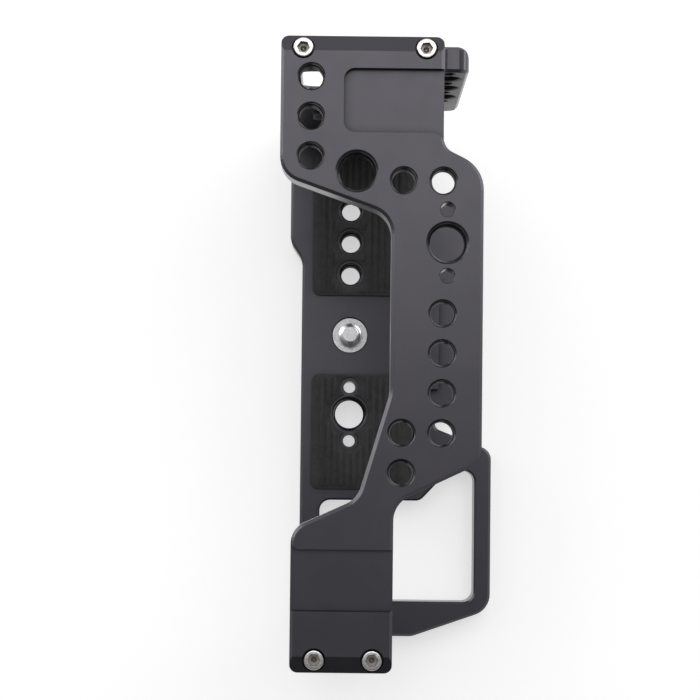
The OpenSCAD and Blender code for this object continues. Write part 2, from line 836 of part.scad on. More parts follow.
top_plate();
left_side_plate();
right_side_plate();
bottom_plate();
top_screws(left_screw_spots);  // top_left_screws
top_screws(right_screw_spots);  // top_right_screws
bottom_screws(left_screw_spots);  // bottom_left_screws
bottom_screws(right_screw_spots);  // bottom_right_screws
dowels(left_dowel_spots, top_z);  // top_left_dowels
dowels(right_dowel_spots, top_z);  // top_right_dowels
dowels(left_dowel_spots, bottom_t);  // bottom_left_dowels
dowels(right_dowel_spots, bottom_t);  // bottom_right_dowels
camera_screw();
camera_screw_clip();
camera_screw_ring();
locating_lip();
bottom_screws(lip_spots, lip_screw_l);  // locating_lip_screws
bottom_pad_left();
bottom_pad_right();
left_inner_pad();
right_inner_pad();
top_pad_left();
top_pad_right();
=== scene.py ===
"""The look of the camera cage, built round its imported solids.

Sizes of the object are written in millimetres and become metres through MM. The lamps and the floor
are written in metres. +Z is up, -Y is the lens side, +X is the user's left, and the origin is under
the middle of the cage.
"""

import json
import math

import bmesh
import bpy
from mathutils import Matrix, Vector
from mathutils.geometry import delaunay_2d_cdt


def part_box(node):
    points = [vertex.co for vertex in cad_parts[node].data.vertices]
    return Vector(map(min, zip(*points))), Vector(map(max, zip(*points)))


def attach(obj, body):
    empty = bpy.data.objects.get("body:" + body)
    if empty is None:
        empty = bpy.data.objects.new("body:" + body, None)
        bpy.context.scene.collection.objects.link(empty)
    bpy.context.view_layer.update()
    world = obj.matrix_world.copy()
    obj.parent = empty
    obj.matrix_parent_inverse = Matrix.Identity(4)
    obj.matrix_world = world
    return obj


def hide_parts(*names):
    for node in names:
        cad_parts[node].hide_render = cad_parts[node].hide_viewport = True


MM = 0.001
FULL_TURN = 2 * math.pi
WHITE = (1, 1, 1, 1)
X = Vector((1, 0, 0))
Y = Vector((0, 1, 0))
Z = Vector((0, 0, 1))

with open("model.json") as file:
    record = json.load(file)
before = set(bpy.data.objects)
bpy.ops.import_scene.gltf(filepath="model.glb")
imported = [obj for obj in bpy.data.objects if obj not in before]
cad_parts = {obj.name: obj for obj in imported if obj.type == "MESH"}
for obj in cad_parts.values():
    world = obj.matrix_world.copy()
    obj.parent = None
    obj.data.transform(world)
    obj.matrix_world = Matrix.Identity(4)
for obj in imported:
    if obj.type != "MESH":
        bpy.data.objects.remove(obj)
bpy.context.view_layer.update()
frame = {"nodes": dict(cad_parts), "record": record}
nodes = frame["nodes"]
record = frame["record"]
scene = bpy.context.scene
scene.view_settings.view_transform = "Standard"

# Threads: the radius of the hole's wall and of the crest, the pitch, and the plain lead-in at both ends

QUARTER = {"wall_r": 2.95, "crest_r": 2.6, "pitch": 1.27, "lead_in": 0.45}
THREE_EIGHTHS = {"wall_r": 4.45, "crest_r": 3.95, "pitch": 1.5875, "lead_in": 0.45}
SMALL = {"wall_r": 1.4, "crest_r": 1.2, "pitch": 0.5, "lead_in": 0.3}

# The way out of the tapped holes of each plate, and how deep they are

TAPPED = {
    "top_plate": (Z, 6.0),
    "left_side_plate": (X, 6.0),
    "right_side_plate": (-X, 6.0),
    "bottom_plate": (-Z, 9.0),
}

# The view, solved from the middles of the holes in the top plate, with its angles in degrees

LENS = 98.93
SENSOR_WIDTH = 36
LENS_SHIFT = (0.0198, 0.0872)
CAMERA_PLACE = Vector((-28.33, 14.83, 545.47))
CAMERA_ROLL = 0.627
CAMERA_TILT = 2
CLIP_M = (0.01, 80)


def make_camera():
    """The photograph's view: from above, with +X at the top of the picture."""
    data = bpy.data.cameras.new("camera")
    data.lens = LENS
    data.sensor_width = SENSOR_WIDTH
    data.shift_x, data.shift_y = LENS_SHIFT
    data.clip_start, data.clip_end = CLIP_M
    camera = bpy.data.objects.new("camera", data)
    scene.collection.objects.link(camera)
    right, up, back = -Y, X, Z
    base = Matrix((right, up, back)).transposed()
    roll = Matrix.Rotation(math.radians(CAMERA_ROLL), 3, "Z")
    tilt = Matrix.Rotation(math.radians(CAMERA_TILT), 3, "X")
    place = Matrix.Translation(CAMERA_PLACE * MM)
    camera.matrix_world = place @ (base @ roll @ tilt).to_4x4()
    scene.camera = camera


# Light

def area_light(name, place, aim, size, radiance):
    """A soft lamp whose own brightness is radiance, where 1 is the white of paper."""
    data = bpy.data.lights.new(name, "AREA")
    data.shape = "RECTANGLE"
    data.size, data.size_y = size
    data.energy = radiance * math.pi * size[0] * size[1]
    lamp = bpy.data.objects.new(name, data)
    scene.collection.objects.link(lamp)
    lamp.location = place
    lamp.rotation_euler = (Vector(aim) - Vector(place)).to_track_quat("-Z", "Y").to_euler()
    lamp.visible_camera = False


def make_lamps():
    """A low soft lamp beyond the left end on both long sides, and a wide one high up beyond it."""
    area_light("lamp_rear", place=(0.7, 0.9, 0.22), aim=(0.7, 0, 0.2), size=(1.1, 0.36), radiance=3.6)
    area_light("lamp_front", place=(0.7, -0.9, 0.22), aim=(0.7, 0, 0.2), size=(1.1, 0.36), radiance=3.6)
    area_light("lamp_top", place=(0.67, 0.0, 1.5), aim=(0.67, 0, 0), size=(1.1, 1.4), radiance=1.75)


def make_fill():
    """A white light from all round, weak from the right end's side and stronger from the left end's."""
    darkest_x, brightest_x = -0.7, 1.0
    least, most = 0.14, 0.85
    world = bpy.data.worlds.new("world")
    scene.world = world
    world.use_nodes = True
    tree = world.node_tree
    fill = tree.nodes["Background"]
    fill.inputs["Color"].default_value = WHITE
    way = tree.nodes.new("ShaderNodeTexCoord")
    split = tree.nodes.new("ShaderNodeSeparateXYZ")
    tree.links.new(way.outputs["Generated"], split.inputs[0])
    span = tree.nodes.new("ShaderNodeMapRange")
    span.interpolation_type = "SMOOTHSTEP"
    span.inputs["From Min"].default_value = darkest_x
    span.inputs["From Max"].default_value = brightest_x
    span.inputs["To Min"].default_value = least
    span.inputs["To Max"].default_value = most
    tree.links.new(split.outputs["X"], span.inputs["Value"])
    tree.links.new(span.outputs["Result"], fill.inputs["Strength"])


# Floor

def paper_material():
    """Pale paper that keeps shadows, lifted to white where the camera, metal or glass sees it."""
    grey, lift_strength = 0.6, 0.58
    mat = bpy.data.materials.new("floor")
    mat.use_nodes = True
    tree = mat.node_tree
    tree.nodes.clear()
    paper = tree.nodes.new("ShaderNodeBsdfDiffuse")
    paper.inputs["Color"].default_value = (grey, grey, grey, 1)
    path = tree.nodes.new("ShaderNodeLightPath")
    seen = path.outputs["Is Camera Ray"]
    for ray in ("Is Glossy Ray", "Is Transmission Ray"):
        either = tree.nodes.new("ShaderNodeMath")
        either.operation = "MAXIMUM"
        tree.links.new(seen, either.inputs[0])
        tree.links.new(path.outputs[ray], either.inputs[1])
        seen = either.outputs[0]
    lift = tree.nodes.new("ShaderNodeMath")
    lift.operation = "MULTIPLY"
    lift.inputs[1].default_value = lift_strength
    tree.links.new(seen, lift.inputs[0])
    glow = tree.nodes.new("ShaderNodeEmission")
    glow.inputs["Color"].default_value = WHITE
    tree.links.new(lift.outputs[0], glow.inputs["Strength"])
    add = tree.nodes.new("ShaderNodeAddShader")
    out = tree.nodes.new("ShaderNodeOutputMaterial")
    tree.links.new(paper.outputs[0], add.inputs[0])
    tree.links.new(glow.outputs[0], add.inputs[1])
    tree.links.new(add.outputs[0], out.inputs["Surface"])
    return mat


def make_floor():
    """A wide plain floor at height zero."""
    reach = 40.0
    bm = bmesh.new()
    corners = [bm.verts.new((x * reach, y * reach, 0)) for x, y in ((-1, -1), (1, -1), (1, 1), (-1, 1))]
    bm.faces.new(corners)
    floor = piece_from(bm, "floor")
    floor.data.materials.append(paper_material())


# Materials

BEVEL_SAMPLES = 4
OCCLUSION_SAMPLES = 6

# The spans that are mapped: of the noise, of how alike two normals are, and of how open a place is

NOISE_SPAN = (0.3, 0.7)
EDGE_TO_FLAT = (0.9, 0.995)
CORNER_TO_OPEN = (0.35, 0.9)


class Surface:
    """A Principled material with helpers for its grain, its wear and painted highlight on edges, its
    painted shade in corners, and its bump.
    """

    def __init__(self, name, color, metallic, roughness):
        self.mat = bpy.data.materials.new(name)
        self.mat.use_nodes = True
        self.tree = self.mat.node_tree
        self.shader = self.tree.nodes["Principled BSDF"]
        self.set("Base Color", (*color, 1))
        self.set("Metallic", metallic)
        self.set("Roughness", roughness)
        self.place = self.node("ShaderNodeTexCoord").outputs["Object"]

    def set(self, socket, value):
        """Gives the shader one value all over."""
        self.shader.inputs[socket].default_value = value

    def drive(self, socket, value):
        """Gives the shader a value that changes over the surface."""
        self.link(value, self.shader.inputs[socket])

    def node(self, kind, **values):
        """A new node with its settings."""
        made = self.tree.nodes.new(kind)
        for key, value in values.items():
            setattr(made, key, value)
        return made

    def link(self, out, into):
        """Joins an output to an input."""
        self.tree.links.new(out, into)

    def noise(self, size_mm, detail=3.0):
        """Noise whose blobs are about size_mm across."""
        texture = self.node("ShaderNodeTexNoise")
        texture.inputs["Scale"].default_value = 1
        texture.inputs["Detail"].default_value = detail
        grid = self.node("ShaderNodeMapping")
        grid.inputs["Scale"].default_value = [1 / (size_mm * MM)] * 3
        self.link(self.place, grid.inputs["Vector"])
        self.link(grid.outputs["Vector"], texture.inputs["Vector"])
        return texture.outputs["Fac"]

    def spread(self, value, low, high, source=NOISE_SPAN):
        """Maps a value from source to low..high."""
        span = self.node("ShaderNodeMapRange")
        span.inputs["From Min"].default_value, span.inputs["From Max"].default_value = source
        span.inputs["To Min"].default_value, span.inputs["To Max"].default_value = low, high
        self.link(value, span.inputs["Value"])
        return span.outputs["Result"]

    def soft_normal(self, radius_mm):
        """The normal that the surface would have with its edges rounded."""
        soft = self.node("ShaderNodeBevel", samples=BEVEL_SAMPLES)
        soft.inputs["Radius"].default_value = radius_mm * MM
        return soft.outputs["Normal"]

    def edges(self, radius_mm):
        """1 on sharp edges, 0 on flat faces."""
        dot = self.node("ShaderNodeVectorMath", operation="DOT_PRODUCT")
        self.link(self.soft_normal(radius_mm), dot.inputs[0])
        self.link(self.node("ShaderNodeNewGeometry").outputs["Normal"], dot.inputs[1])
        return self.spread(dot.outputs["Value"], 1, 0, EDGE_TO_FLAT)

    def painted_corner_shade(self, reach_mm, darkest):
        """Painted shade: 1 in the open and darkest in corners and grooves narrower than reach_mm."""
        near = self.node("ShaderNodeAmbientOcclusion", samples=OCCLUSION_SAMPLES)
        near.inputs["Distance"].default_value = reach_mm * MM
        return self.spread(near.outputs["AO"], darkest, 1, CORNER_TO_OPEN)

    def product(self, one, two):
        """One value times another."""
        times = self.node("ShaderNodeMath", operation="MULTIPLY")
        self.link(one, times.inputs[0])
        self.link(two, times.inputs[1])
        return times.outputs[0]

    def scaled(self, color, factor):
        """A colour times a factor."""
        scale = self.node("ShaderNodeVectorMath", operation="SCALE")
        self.link(color, scale.inputs[0])
        self.link(factor, scale.inputs["Scale"])
        return scale.outputs["Vector"]

    def tint(self, value, low, high):
        """A colour that runs from low to high with value."""
        mix = self.node("ShaderNodeMix", data_type="RGBA")
        mix.inputs["A"].default_value = (*low, 1)
        mix.inputs["B"].default_value = (*high, 1)
        self.link(value, mix.inputs["Factor"])
        return mix.outputs["Result"]

    def over(self, value, base, top):
        """Lays the colour top over base where value is 1."""
        mix = self.node("ShaderNodeMix", data_type="RGBA")
        self.link(base, mix.inputs["A"])
        mix.inputs["B"].default_value = (*top, 1)
        self.link(value, mix.inputs["Factor"])
        return mix.outputs["Result"]

    def bump(self, height, depth_mm, strength, soft_mm=0.0):
        """Raises the surface by height, up to depth_mm, over edges that are rounded by soft_mm."""
        bump = self.node("ShaderNodeBump")
        bump.inputs["Distance"].default_value = depth_mm * MM
        bump.inputs["Strength"].default_value = strength
        self.link(height, bump.inputs["Height"])
        if soft_mm:
            self.link(self.soft_normal(soft_mm), bump.inputs["Normal"])
        self.drive("Normal", bump.outputs["Normal"])


def anodised(name, dark, light, wear_and_highlight, roughness):
    """Bead-blasted aluminium, anodised dark grey, a little brighter along its edges from wear and a
    painted highlight, and darkened by painted shade in corners and grooves.
    """
    metallic, coat, coat_roughness = 0.85, 0.35, 0.22
    blotch_mm, wear_and_highlight_mm, gloss_mm, bead_mm = 9, 1.6, 4, 0.14
    edge_mm, most_wear_and_highlight, soft_edge_mm = 0.14, 0.3, 0.1
    # Painted shade: how far it reaches into corners and grooves, and how dark it gets there
    painted_shade_reach_mm, painted_shade_darkest = 2.4, 0.12
    change, bead_h, bead_strength = 0.025, 0.004, 0.5
    surface = Surface(name, light, metallic, roughness)
    base = surface.tint(surface.spread(surface.noise(blotch_mm), 0, 1), dark, light)
    patches = surface.spread(surface.noise(wear_and_highlight_mm), 0, most_wear_and_highlight)
    # Wear and painted highlight: the edges are lightened in patches towards the lighter edge colour
    color = surface.over(surface.product(surface.edges(edge_mm), patches), base, wear_and_highlight)
    # Painted shade: the base colour is darkened in corners and grooves
    surface.drive("Base Color", surface.scaled(color, surface.painted_corner_shade(painted_shade_reach_mm, painted_shade_darkest)))
    gloss = surface.noise(gloss_mm)
    surface.drive("Roughness", surface.spread(gloss, roughness - change, roughness + change))
    surface.set("Coat Weight", coat)
    surface.set("Coat Roughness", coat_roughness)
    surface.bump(surface.noise(bead_mm, detail=1), bead_h, bead_strength, soft_edge_mm)
    return surface.mat


def steel(name, dark, light, roughness):
    """Bright turned steel with fine marks."""
    blotch_mm, gloss_mm, mark_mm = 0.9, 0.5, 0.1
    glossier, duller, mark_h, mark_strength = 0.05, 0.08, 0.002, 0.4
    surface = Surface(name, light, 1, roughness)
    shade = surface.spread(surface.noise(blotch_mm), 0, 1)
    surface.drive("Base Color", surface.tint(shade, dark, light))
    gloss = surface.noise(gloss_mm)
    surface.drive("Roughness", surface.spread(gloss, roughness - glossier, roughness + duller))
    surface.bump(surface.noise(mark_mm, detail=1), mark_h, mark_strength)
    return surface.mat


def rubber(name, dark, light):
    """Matte black rubber with a fine moulded grain."""
    blotch_mm, gloss_mm, grain_mm = 2.5, 1.0, 0.12
    glossiest, dullest, grain_h, grain_strength = 0.68, 0.82, 0.01, 0.6
    middle = [(a + b) / 2 for a, b in zip(dark, light)]
    surface = Surface(name, middle, 0, (glossiest + dullest) / 2)
    shade = surface.spread(surface.noise(blotch_mm), 0, 1)
    surface.drive("Base Color", surface.tint(shade, dark, light))
    surface.drive("Roughness", surface.spread(surface.noise(gloss_mm), glossiest, dullest))
    surface.bump(surface.noise(grain_mm, detail=2), grain_h, grain_strength)
    return surface.mat


def make_materials():
    """The surfaces by name. The record's slots are among them."""
    return {
        # The lighter edge colour of each anodised look is partly wear and partly painted highlight
        "plate": anodised("plate", dark=(0.052, 0.0495, 0.059), light=(0.0575, 0.0547, 0.0647),
                          wear_and_highlight=(0.12, 0.116, 0.13), roughness=0.34),
        # The threads' darker anodising is painted shade for the walls of the tapped holes
        "thread": anodised("thread", dark=(0.026, 0.025, 0.028), light=(0.034, 0.033, 0.037),
                           wear_and_highlight=(0.06, 0.06, 0.066), roughness=0.42),
        "steel": steel("steel", dark=(0.59, 0.575, 0.555), light=(0.72, 0.71, 0.695), roughness=0.22),
        # The socket look is a darker copy of the steel: painted shade inside the screws' hex sockets
        "socket": steel("socket", dark=(0.26, 0.24, 0.225), light=(0.4, 0.37, 0.35), roughness=0.45),
        "dowel": steel("dowel", dark=(0.5, 0.5, 0.51), light=(0.62, 0.62, 0.63), roughness=0.3),
        "screw": steel("screw", dark=(0.54, 0.54, 0.55), light=(0.68, 0.68, 0.69), roughness=0.3),
        "rubber": rubber("rubber", dark=(0.018, 0.018, 0.0195), light=(0.026, 0.026, 0.0275)),
    }


# Pieces

def piece_from(bm, name):
    """An object with bm's mesh."""
    mesh = bpy.data.meshes.new(name)
    bmesh.ops.recalc_face_normals(bm, faces=bm.faces)
    bm.to_mesh(mesh)
    bm.free()
    obj = bpy.data.objects.new(name, mesh)
    scene.collection.objects.link(obj)
    return obj


def dress(obj, surfaces, body, slot, *stands_for, angle=32):
    """Shades a piece smooth but for edges over angle degrees, and tells what it belongs to.

    A second surface, if there is one, goes to the faces marked with 1.
    """
    obj.data.polygons.foreach_set("use_smooth", [True] * len(obj.data.polygons))
    obj.data.set_sharp_from_angle(angle=math.radians(angle))
    for surface in surfaces:
        obj.data.materials.append(materials[surface])
    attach(obj, body)
    if stands_for:
        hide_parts(*stands_for)


def bridge(bm, rings):
    """Joins each ring of vertices to the next, and gives back the faces of each gap."""
    gaps = []
    for low, high in zip(rings, rings[1:]):
        faces = []
        for k in range(len(low)):
            j = (k + 1) % len(low)
            faces.append(bm.faces.new((low[k], low[j], high[j], high[k])))
        gaps.append(faces)
    return gaps


def cap(bm, rings):
    """Closes the first ring and the last one, and gives back the last one's face."""
    bm.faces.new(rings[0])
    return bm.faces.new(rings[-1])


def placing(spot, up=1, turn=0.0):
    """Turns a place in a piece's own millimetres into the scene's metres; up is -1 for upside down."""
    cos, sin = math.cos(turn), math.sin(turn)

    def put(x, y, z):
        return (Vector(spot) + Vector((cos * x - sin * y, (sin * x + cos * y) * up, z * up))) * MM

    return put


def add_turned(bm, put, rows, steps=48, mark_from=None):
    """A turned form through rows of (radius, height). A radius can be a function of the angle.

    Faces from the row mark_from on get the piece's second surface.
    """
    rings = []
    for radius, height in rows:
        ring = []
        for k in range(steps):
            angle = FULL_TURN * k / steps
            r = radius(angle) if callable(radius) else radius
            ring.append(bm.verts.new(put(r * math.cos(angle), r * math.sin(angle), height)))
        rings.append(ring)
    gaps = bridge(bm, rings)
    last = cap(bm, rings)
    if mark_from is not None:
        for faces in gaps[mark_from:] + [[last]]:
            for face in faces:
                face.material_index = 1


def rounded_edge(r, z, size, rising=True):
    """Rows that round the outer edge at radius r and height z, on the way up or down."""
    steps = 4
    rows = []
    for k in range(steps + 1) if rising else range(steps, -1, -1):
        angle = math.pi / 2 * k / steps
        lift = size * (1 - math.sin(angle))
        rows.append((r - size * (1 - math.cos(angle)), z - lift if rising else z + lift))
    return rows


def hexagon(width):
    """The radius of a hexagon by angle, with a corner at angle zero."""
    sixth = math.pi / 3

    def radius(angle):
        return width / 2 / math.cos(angle % sixth - sixth / 2)

    return radius


# Threads in the plates

def add_thread(bm, start, way, foot_r, crest_r, pitch, length):
    """The helical ridge of a right-hand thread, from start along way.

    Its foot sinks a little into the metal, and the ridge fades in and out over a third of a turn.
    """
    steps = 40
    sink, foot_share, crest_share = 0.02, 0.44, 0.12
    run_in, least_ridge = steps / 3, 0.02
    foot = foot_r + math.copysign(sink, foot_r - crest_r)
    half = pitch * foot_share
    top = half * crest_share
    side = way.orthogonal().normalized()
    other = way.cross(side)
    count = int((length - 2 * half) / pitch * steps)
    rings = []
    for k in range(count + 1):
        angle = FULL_TURN * k / steps
        rise = min(1, k / run_in, (count - k) / run_in)
        crest = foot + (crest_r - foot) * max(rise, least_ridge)
        out = side * math.cos(angle) + other * math.sin(angle)
        along = half + k * pitch / steps
        profile = ((foot, -half), (crest, -top), (crest, top), (foot, half))
        places = [start + (out * r + way * (along + lift)) * MM for r, lift in profile]
        rings.append([bm.verts.new(place) for place in places])
    bridge(bm, rings)
    cap(bm, rings)


def across(axis):
    """Those two of the ways X, Y and Z that lie across axis."""
    return [way for way in (X, Y, Z) if way.dot(axis) == 0]


def same(one, two):
    """Are two numbers from the record the same, but for their rounding?"""
    rounding = 0.01
    return abs(one - two) < rounding


def mount_spots(mount, axis, depth, wall_r):
    """The mouths of a mount's holes, if their walls have that radius."""
    middle = Vector(mount["pos_m"])
    dims = mount["dims"]
    spots = []
    if mount["kind"] == "bolt_pattern" and same(dims["hole_r_mm"], wall_r):
        for way, key in zip(across(axis), ("spacing_x_mm", "spacing_y_mm")):
            for side in (-1, 1) if key in dims else ():
                spots.append(middle + way * side * dims[key] / 2 * MM)
    if mount["kind"] == "threaded_hole" and same(dims["r_mm"], wall_r):
        spots.append(middle + axis * depth / 2 * MM)
    return spots


def hole_spots(plate, wall_r):
    """The mouths of a plate's tapped holes of that wall radius, from the record's mounts, each once."""
    decimals = 5
    axis, depth = TAPPED[plate]
    spots = {}
    for mount in record["mounts"]:
        if same((Vector(mount["axis"]) - axis).length, 0):
            for spot in mount_spots(mount, axis, depth, wall_r):
                spots[tuple(round(v, decimals) for v in spot)] = spot
    return list(spots.values())


def make_threads():
    """The threads of every plate's tapped holes, one piece a plate."""
    for plate, (axis, depth) in TAPPED.items():
        bm = bmesh.new()
        for thread in (QUARTER, THREE_EIGHTHS, SMALL):
            wall_r, crest_r, pitch, lead_in = thread.values()
            for mouth in hole_spots(plate, wall_r):
                start = mouth - axis * lead_in * MM
                add_thread(bm, start, -axis, wall_r, crest_r, pitch, depth - 2 * lead_in)
        # The threads take the darker thread look, which is painted shade in the tapped holes
        dress(piece_from(bm, plate + "_threads"), ("thread",), "cage", "plate", angle=40)


# Screws

SOCKET_HEAD_R = 2.25
SOCKET_HEAD_H = 3.0


def add_socket_screw(bm, put, stem_l):
    """A socket head screw with the underside of its head at height zero."""
    stem_r, tip_bevel, seat_round, head_round = 1.5, 0.3, 0.1, 0.3
    socket_w, socket_h = 2.6, 1.7
    drill_r, point_r, point_h = 0.7, 0.15, 0.4
    flats, floor_z = hexagon(socket_w), SOCKET_HEAD_H - socket_h
    rows = [(stem_r - tip_bevel, -stem_l), (stem_r, tip_bevel - stem_l), (stem_r, 0)]
    rows += rounded_edge(SOCKET_HEAD_R, 0, seat_round, rising=False)
    rows += rounded_edge(SOCKET_HEAD_R, SOCKET_HEAD_H, head_round)
    socket = [(flats, SOCKET_HEAD_H), (flats, floor_z), (drill_r, floor_z), (point_r, floor_z - point_h)]
    # The socket's faces get the second, darker look, which is painted shade
    add_turned(bm, put, rows + socket, mark_from=len(rows))


def make_socket_screws(node, up, stem_l, turns):
    """The pair of screws of a CAD node, each with its socket turned by its own turn in degrees."""
    low, high = (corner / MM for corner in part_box(node))
    z = high.z - SOCKET_HEAD_H if up > 0 else low.z + SOCKET_HEAD_H
    middle = (low + high) / 2
    along = 0 if high.x - low.x > high.y - low.y else 1
    bm = bmesh.new()
    for end, turn in zip((low[along] + SOCKET_HEAD_R, high[along] - SOCKET_HEAD_R), turns):
        spot = [middle.x, middle.y, z]
        spot[along] = end
        add_socket_screw(bm, placing(spot, up, math.radians(turn)), stem_l)
    # The sockets inside the heads take the darker socket look, which is painted shade
    dress(piece_from(bm, node + "_turned"), ("steel", "socket"), "cage", "steel", node)


# The camera screw. Its heights are from the cage's underside.

RIDGES = 64
NECK_R = 3.1
ROOT_R = 2.5
GROOVE_HIGH = 8.2


def knurled(radius):
    """A radius by angle, which dips into a groove between each ridge and the next."""
    ridge_h = 0.22

    def ridged(angle):
        return radius - ridge_h * (1 - math.cos(RIDGES * angle)) / 2

    return ridged


def knob_rows():
    """The knurled head, with both its edges bevelled, as far as the neck."""
    head_r, low, high = 7.0, 2.25, 4.62
    face_in, edge_in, edge_h, bevel_h = 0.6, 0.3, 0.05, 0.4
    return [
        (head_r - face_in, low),
        (knurled(head_r - edge_in), low + edge_h),
        (knurled(head_r), low + bevel_h),
        (knurled(head_r), high - bevel_h),
        (knurled(head_r - edge_in), high - edge_h),
        (head_r - face_in, high),
        (NECK_R, high),
    ]


def shank_rows(tip):
    """The plain neck, the groove of the clip, and the core of the thread up to tip."""
    groove_r, groove_low = 2.4, 7.5
    groove_bevel, root_bevel, tip_bevel = 0.15, 0.12, 0.5
    return [
        (NECK_R, groove_low - groove_bevel),
        (groove_r, groove_low),
        (groove_r, GROOVE_HIGH),
        (ROOT_R, GROOVE_HIGH + root_bevel),
        (ROOT_R, tip - tip_bevel),
        (ROOT_R - tip_bevel, tip),
    ]


def add_lug(bm, put):
    """The cross bar under the camera screw's head, with a pivot hole in each end."""
    reach, half_w, z_low, z_high = 4.0, 1.3, 0.55, 2.5
    hole_r, hole_z, hole_l = 0.72, 1.45, 3.0
    round_r, round_share = 0.25, 0.3
    steps, nearly_zero = 40, 1e-6
    outline, hole = [], []
    for k in range(steps):
        angle = FULL_TURN * k / steps
        y, z = math.cos(angle), math.sin(angle)
        hole.append((hole_r * y, hole_z + hole_r * z))
        half_h = z_high - hole_z if z > 0 else hole_z - z_low
        scale = min(half_w / max(abs(y), nearly_zero), half_h / max(abs(z), nearly_zero))
        outline.append((scale * y, hole_z + scale * z))

    def drawn_in(by):
        """The outline, smaller all round but for its top, which lies in the head."""
        side = half_w - by
        return [(max(-side, min(side, y)), max(z_low + by, min(z_high, z))) for y, z in outline]

    little = round_r * round_share
    half = [
        (hole, hole_l - reach),
        (hole, -reach),
        (drawn_in(round_r), -reach),
        (drawn_in(little), little - reach),
        (outline, round_r - reach),
    ]
    rows = half + [(points, -x) for points, x in reversed(half)]
    rings = [[bm.verts.new(put(x, y, z)) for y, z in points] for points, x in rows]
    bridge(bm, rings)
    cap(bm, rings)


def make_camera_screw():
    """The head and shank in one turned form, the quarter inch thread, and the lug."""
    steps_a_ridge, lug_forward = 4, 2
    thread_gap, thread_end = 0.15, 0.3
    low, high = (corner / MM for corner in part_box("camera_screw"))
    x, y, tip = (low.x + high.x) / 2, (low.y + high.y) / 2, high.z
    put = placing((x, y, 0))
    bm = bmesh.new()
    add_turned(bm, put, knob_rows() + shank_rows(tip), RIDGES * steps_a_ridge)
    thread_low = GROOVE_HIGH + thread_gap
    thread_l = tip - thread_end - thread_low
    add_thread(bm, put(0, 0, thread_low), Z, ROOT_R, NECK_R, QUARTER["pitch"], thread_l)
    add_lug(bm, placing((x, y - lug_forward, 0)))
    dress(piece_from(bm, "camera_screw_turned"), ("screw",), "screw", "screw", "camera_screw", angle=38)


# Pads. A rib's foot and crown are half its width there, and its margin is the bare rubber round it.

PAD_CORNER = 2.0
PAD_ROUND = 0.16
RIB_H = 0.22
RIB_PITCH = 1.8
RIB_FOOT = 0.55
RIB_CROWN = 0.36
RIB_MARGIN = 0.9
SHORTEST_RIB = 1.2


def ring_points(width, height, inset):
    """A pad's outline round the origin, with rounded corners, drawn in by inset."""
    steps = 8
    r = PAD_CORNER - inset
    points = []
    for k, (sx, sy) in enumerate(((1, 1), (-1, 1), (-1, -1), (1, -1))):
        for i in range(steps + 1):
            angle = FULL_TURN / 4 * (k + i / steps)
            points.append((
                sx * (width / 2 - PAD_CORNER) + r * math.cos(angle),
                sy * (height / 2 - PAD_CORNER) + r * math.sin(angle),
            ))
    return points


def arc_points(u, v, r, start, end, steps=24):
    """Points round u, v from one angle to another, without the last."""
    angles = [start + (end - start) * k / steps for k in range(steps)]
    return [(u + r * math.cos(angle), v + r * math.sin(angle)) for angle in angles]


def opening_points(circles, spare):
    """The outline of one circle, or of a large circle with a smaller one across each side of it."""
    u, v, large = circles[0]
    large += spare
    if len(circles) == 1:
        return arc_points(u, v, large, 0, FULL_TURN, steps=48)
    reach, small = abs(circles[1][0] - u), circles[1][2] + spare
    cross = (large ** 2 - small ** 2 + reach ** 2) / 2 / reach
    near, far = math.acos(cross / large), math.acos((cross - reach) / small)
    return (
        arc_points(u + reach, v, small, -far, far)
        + arc_points(u, v, large, near, math.pi - near)
        + arc_points(u - reach, v, small, math.pi - far, math.pi + far)
        + arc_points(u, v, large, math.pi + near, FULL_TURN - near)
    )


def inside(point, loop):
    """Is a point inside a closed loop of points?"""
    found = False
    for a, b in zip(loop, loop[1:] + loop[:1]):
        if (a.y > point.y) != (b.y > point.y):
            if point.x < a.x + (point.y - a.y) / (b.y - a.y) * (b.x - a.x):
                found = not found
    return found


def add_face_with_holes(bm, rings):
    """Fills the first ring and leaves the others open. A ring is a list of (vertex, flat place)."""
    only_triangles, tolerance = 0, 1e-9
    verts = [vert for ring in rings for vert, _ in ring]
    flat = [Vector(place) for ring in rings for _, place in ring]
    loops, at = [], 0
    for ring in rings:
        loops.append(list(range(at, at + len(ring))))
        at += len(ring)
    edges = [(a, b) for loop in loops for a, b in zip(loop, loop[1:] + loop[:1])]
    _, _, faces, came_from, _, _ = delaunay_2d_cdt(flat, edges, [], only_triangles, tolerance)
    for face in faces:
        face = [came_from[i][0] for i in face]
        middle = sum((flat[i] for i in face), Vector((0, 0))) / len(face)
        if all(inside(middle, [flat[i] for i in loop]) == (k == 0) for k, loop in enumerate(loops)):
            bm.faces.new([verts[i] for i in face])


def add_pad_sheet(bm, put, width, height, top, openings):
    """The pad under its ribs: a flat back, upright sides, rounded upper edges and its openings."""
    first_in = 0.05
    levels = ((0, 0), (0, top - PAD_ROUND), (first_in, top - first_in), (PAD_ROUND, top))
    stacks = []
    for inset, n in levels:
        rings = [ring_points(width, height, inset)]
        rings += [opening_points(circles, inset) for circles in openings]
        stacks.append([[(bm.verts.new(put(u, v, n)), (u, v)) for u, v in ring] for ring in rings])
    for low_rings, high_rings in zip(stacks, stacks[1:]):
        for low, high in zip(low_rings, high_rings):
            bridge(bm, [[vert for vert, _ in ring] for ring in (low, high)])
    add_face_with_holes(bm, stacks[0])
    add_face_with_holes(bm, stacks[-1])


